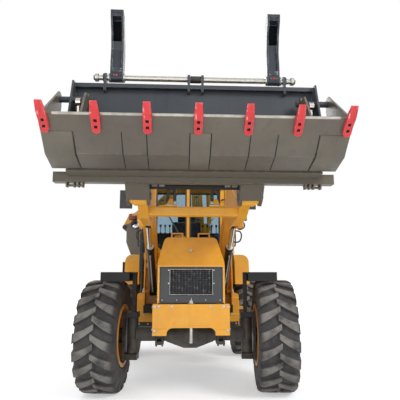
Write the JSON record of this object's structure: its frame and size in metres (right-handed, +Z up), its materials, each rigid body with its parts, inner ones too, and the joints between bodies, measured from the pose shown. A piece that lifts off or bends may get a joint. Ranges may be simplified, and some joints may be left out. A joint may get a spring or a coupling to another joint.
{
  "type": "backhoe loader",
  "caption": "Yellow backhoe loader with a clam bucket and flip-over forks raised in front, a hollow cab, and a side-shift backhoe folded behind.",
  "frame": {"origin": "on the ground, under the middle of the whole machine as it stands in the picture", "axes": "+Z up, -Y towards the loader bucket, +X towards the machine's left side"},
  "size_m": [2.3824, 5.8164, 3.5348],
  "materials": {
    "yellow_paint": "satin",
    "black_paint": "satin",
    "dark_grey_paint": "satin",
    "red_paint": "satin",
    "rim_paint": "satin",
    "cast_black": "rough",
    "chrome": "polished",
    "tyre_rubber": "rough",
    "window": "clear",
    "seat_plastic": "matte"
  },
  "bodies": {
    "root": {"chassis_frame": "black_paint", "loader_tower": "yellow_paint", "front_bumper": "yellow_paint", "hood": "yellow_paint", "grille": "black_paint", "engine_block": "cast_black", "front_axle": "cast_black", "rear_axle": "cast_black", "side_tanks": "black_paint", "rear_fenders": "yellow_paint", "cab_base": "yellow_paint", "cab_pillars": "black_paint", "cab_roof": "yellow_paint", "cab_glass": "window", "cab_interior": "seat_plastic", "exhaust_stack": "black_paint", "mirrors": "black_paint", "work_lamps": "black_paint"},
    "knuckle_left": {"steering_knuckle_left": "black_paint", "front_fender_left": "black_paint"},
    "wheel_front_left": {"tyre_front_left": "tyre_rubber", "rim_front_left": "rim_paint"},
    "wheel_rear_left": {"tyre_rear_left": "tyre_rubber", "rim_rear_left": "rim_paint"},
    "stabiliser_left": {"stabiliser_left": "yellow_paint"},
    "fork_left": {"fork_arm_left": "dark_grey_paint"},
    "knuckle_right": {"steering_knuckle_right": "black_paint", "front_fender_right": "black_paint"},
    "wheel_front_right": {"tyre_front_right": "tyre_rubber", "rim_front_right": "rim_paint"},
    "wheel_rear_right": {"tyre_rear_right": "tyre_rubber", "rim_rear_right": "rim_paint"},
    "stabiliser_right": {"stabiliser_right": "yellow_paint"},
    "fork_right": {"fork_arm_right": "dark_grey_paint"},
    "door": {"door_left": "black_paint", "door_glass_left": "window"},
    "arms": {"loader_arms": "yellow_paint"},
    "lift_barrel": {"lift_barrels": "black_paint"},
    "lift_rod": {"lift_rods": "chrome"},
    "bucket": {"bucket_back": "dark_grey_paint", "fork_shaft": "chrome"},
    "tilt_barrel": {"tilt_barrels": "black_paint"},
    "tilt_rod": {"tilt_rods": "chrome"},
    "clam": {"bucket_clam": "dark_grey_paint", "bucket_teeth": "red_paint"},
    "clam_barrel": {"clam_barrels": "black_paint"},
    "clam_rod": {"clam_rods": "chrome"},
    "carriage": {"shift_carriage": "yellow_paint"},
    "post": {"slew_post": "yellow_paint"},
    "boom": {"dig_boom": "yellow_paint"},
    "boom_barrel": {"boom_barrel": "yellow_paint"},
    "boom_rod": {"boom_rod": "chrome"},
    "dipper": {"dipper": "yellow_paint"},
    "stick_barrel": {"stick_barrel": "yellow_paint"},
    "stick_rod": {"stick_rod": "chrome"},
    "dig_bucket": {"dig_bucket": "dark_grey_paint"},
    "rocker": {"bucket_rocker": "yellow_paint"},
    "link": {"bucket_link": "yellow_paint"},
    "curl_barrel": {"curl_barrel": "yellow_paint"},
    "curl_rod": {"curl_rod": "chrome"}
  },
  "joints": [
    {"name": "steer_left", "type": "hinge", "parent": "root", "child": "knuckle_left", "pos_m": [0.64977, -0.83183, 0.595], "axis": [0, 0, 1], "range_deg": [-15, 25]},
    {"name": "steer_right", "type": "hinge", "parent": "root", "child": "knuckle_right", "pos_m": [-0.61023, -0.83183, 0.595], "axis": [0, 0, 1], "range_deg": [-16, 26]},
    {"name": "wheel_front_left", "type": "hinge", "parent": "knuckle_left", "child": "wheel_front_left", "pos_m": [0.94863, -0.85797, 0.595], "axis": [0.9962, -0.0872, 0], "continuous": true},
    {"name": "wheel_rear_left", "type": "hinge", "parent": "root", "child": "wheel_rear_left", "pos_m": [0.96477, 1.41817, 0.595], "axis": [1, 0, 0], "continuous": true},
    {"name": "wheel_front_right", "type": "hinge", "parent": "knuckle_right", "child": "wheel_front_right", "pos_m": [-0.90909, -0.80568, 0.595], "axis": [0.9962, -0.0872, 0], "continuous": true},
    {"name": "wheel_rear_right", "type": "hinge", "parent": "root", "child": "wheel_rear_right", "pos_m": [-0.92523, 1.41817, 0.595], "axis": [1, 0, 0], "continuous": true},
    {"name": "door_left", "type": "hinge", "parent": "root", "child": "door", "pos_m": [0.56377, 0.36218, 2], "axis": [0, 0, -1], "range_deg": [0, 65]},
    {"name": "loader_lift", "type": "hinge", "parent": "root", "child": "arms", "pos_m": [0.01977, 0.11818, 1.5], "axis": [-1, 0, 0], "range_deg": [-45, 40]},
    {"name": "lift_barrel_turn", "type": "hinge", "parent": "root", "child": "lift_barrel", "pos_m": [0.01977, 0.10817, 1.03], "axis": [1, 0, 0], "range_deg": [-35.16, 39.38]},
    {"name": "lift_rod_slide", "type": "slide", "parent": "lift_barrel", "child": "lift_rod", "axis": [0, -0.8368, 0.5475], "range_m": [-0.31936, 0.28518]},
    {"name": "bucket_tilt", "type": "hinge", "parent": "arms", "child": "bucket", "pos_m": [0.01977, -2.03182, 1.93], "axis": [1, 0, 0], "range_deg": [-8, 100]},
    {"name": "tilt_barrel_turn", "type": "hinge", "parent": "arms", "child": "tilt_barrel", "pos_m": [0.01977, -1.11183, 2.56], "axis": [1, 0, 0], "range_deg": [-0.87, 8.76]},
    {"name": "tilt_rod_slide", "type": "slide", "parent": "tilt_barrel", "child": "tilt_rod", "axis": [0, -0.9627, -0.2704], "range_m": [-0.057, 0.57227]},
    {"name": "clam_open", "type": "hinge", "parent": "bucket", "child": "clam", "pos_m": [0.01977, -2.33182, 2.69], "axis": [-1, 0, 0], "range_deg": [0, 60]},
    {"name": "clam_barrel_turn", "type": "hinge", "parent": "bucket", "child": "clam_barrel", "pos_m": [0.01977, -2.37182, 2.235], "axis": [1, 0, 0], "range_deg": [-0.03, 1.33]},
    {"name": "clam_rod_slide", "type": "slide", "parent": "clam_barrel", "child": "clam_rod", "axis": [0, -0.0616, 0.9981], "range_m": [-0.00173, 0.08342]},
    {"name": "fork_left", "type": "hinge", "parent": "bucket", "child": "fork_left", "pos_m": [0.01977, -2.24182, 2.935], "axis": [-1, 0, 0], "range_deg": [-95, 60]},
    {"name": "fork_right", "type": "hinge", "parent": "bucket", "child": "fork_right", "pos_m": [0.01977, -2.24182, 2.935], "axis": [-1, 0, 0], "range_deg": [-95, 60]},
    {"name": "side_shift", "type": "slide", "parent": "root", "child": "carriage", "axis": [1, 0, 0], "range_m": [-0.9, 0]},
    {"name": "slew", "type": "hinge", "parent": "carriage", "child": "post", "pos_m": [0.46977, 2.61817, 0.78], "axis": [0, 0, -1], "range_deg": [0, 180]},
    {"name": "boom", "type": "hinge", "parent": "post", "child": "boom", "pos_m": [0.26977, 2.61817, 0.8], "axis": [0, -1, 0], "range_deg": [0, 125]},
    {"name": "boom_barrel_turn", "type": "hinge", "parent": "post", "child": "boom_barrel", "pos_m": [0.47577, 2.61817, 1.134], "axis": [0, 1, 0], "range_deg": [-126.21, 2.47]},
    {"name": "boom_rod_slide", "type": "slide", "parent": "boom_barrel", "child": "boom_rod", "axis": [0.0099, 0, 1], "range_m": [-0.01416, 0.71709]},
    {"name": "dipper", "type": "hinge", "parent": "boom", "child": "dipper", "pos_m": [0.20977, 2.61817, 3.25], "axis": [0, 1, 0], "range_deg": [0, 100]},
    {"name": "stick_barrel_turn", "type": "hinge", "parent": "boom", "child": "stick_barrel", "pos_m": [0.48877, 2.61817, 2.192], "axis": [0, 1, 0], "range_deg": [-0.0173, 0.8773]},
    {"name": "stick_rod_slide", "type": "slide", "parent": "stick_barrel", "child": "stick_rod", "axis": [-0.0303, 0, 0.9995], "range_m": [-0.5137, 0.01017]},
    {"name": "dig_curl", "type": "hinge", "parent": "dipper", "child": "dig_bucket", "pos_m": [-0.93023, 2.61817, 2.2], "axis": [0, 1, 0], "range_deg": [0, 120]},
    {"name": "rocker", "type": "hinge", "parent": "dipper", "child": "rocker", "pos_m": [-0.71023, 2.61817, 2.403], "axis": [0, 1, 0], "range_deg": [-1.39, 70.71]},
    {"name": "link", "type": "hinge", "parent": "rocker", "child": "link", "pos_m": [-1.03823, 2.61817, 2.37], "axis": [0, 1, 0], "range_deg": [-92.29, 1.81]},
    {"name": "curl_barrel_turn", "type": "hinge", "parent": "dipper", "child": "curl_barrel", "pos_m": [-0.17023, 2.61817, 3.17], "axis": [0, 1, 0], "range_deg": [-0.21, 10.79]},
    {"name": "curl_rod_slide", "type": "slide", "parent": "curl_barrel", "child": "curl_rod", "axis": [-0.7353, 0, -0.6777], "range_m": [-0.33547, 0.00668]},
    {"name": "stabiliser_left", "type": "slide", "parent": "root", "child": "stabiliser_left", "axis": [0, 0, -1], "range_m": [0, 0.27]},
    {"name": "stabiliser_right", "type": "slide", "parent": "root", "child": "stabiliser_right", "axis": [0, 0, -1], "range_m": [0, 0.27]}
  ],
  "couplings": [
    {"joint": "steer_right", "follows": "steer_left", "ratio": 1},
    {"joint": "lift_barrel_turn", "follows": "loader_lift", "ratio": -0.8432},
    {"joint": "lift_rod_slide", "follows": "loader_lift", "m_per_rad": 0.3917},
    {"joint": "tilt_barrel_turn", "follows": "bucket_tilt", "ratio": 0.0857},
    {"joint": "tilt_rod_slide", "follows": "bucket_tilt", "m_per_rad": 0.3209},
    {"joint": "clam_barrel_turn", "follows": "clam_open", "ratio": 0.0217},
    {"joint": "clam_rod_slide", "follows": "clam_open", "m_per_rad": 0.078},
    {"joint": "boom_barrel_turn", "follows": "boom", "ratio": -0.9899},
    {"joint": "boom_rod_slide", "follows": "boom", "m_per_rad": 0.3222},
    {"joint": "stick_barrel_turn", "follows": "dipper", "ratio": 0.0086},
    {"joint": "stick_rod_slide", "follows": "dipper", "m_per_rad": -0.2885},
    {"joint": "rocker", "follows": "dig_curl", "ratio": 0.57766},
    {"joint": "link", "follows": "dig_curl", "ratio": -0.75399},
    {"joint": "curl_barrel_turn", "follows": "dig_curl", "ratio": 0.088117},
    {"joint": "curl_rod_slide", "follows": "dig_curl", "m_per_rad": -0.15699}
  ]
}
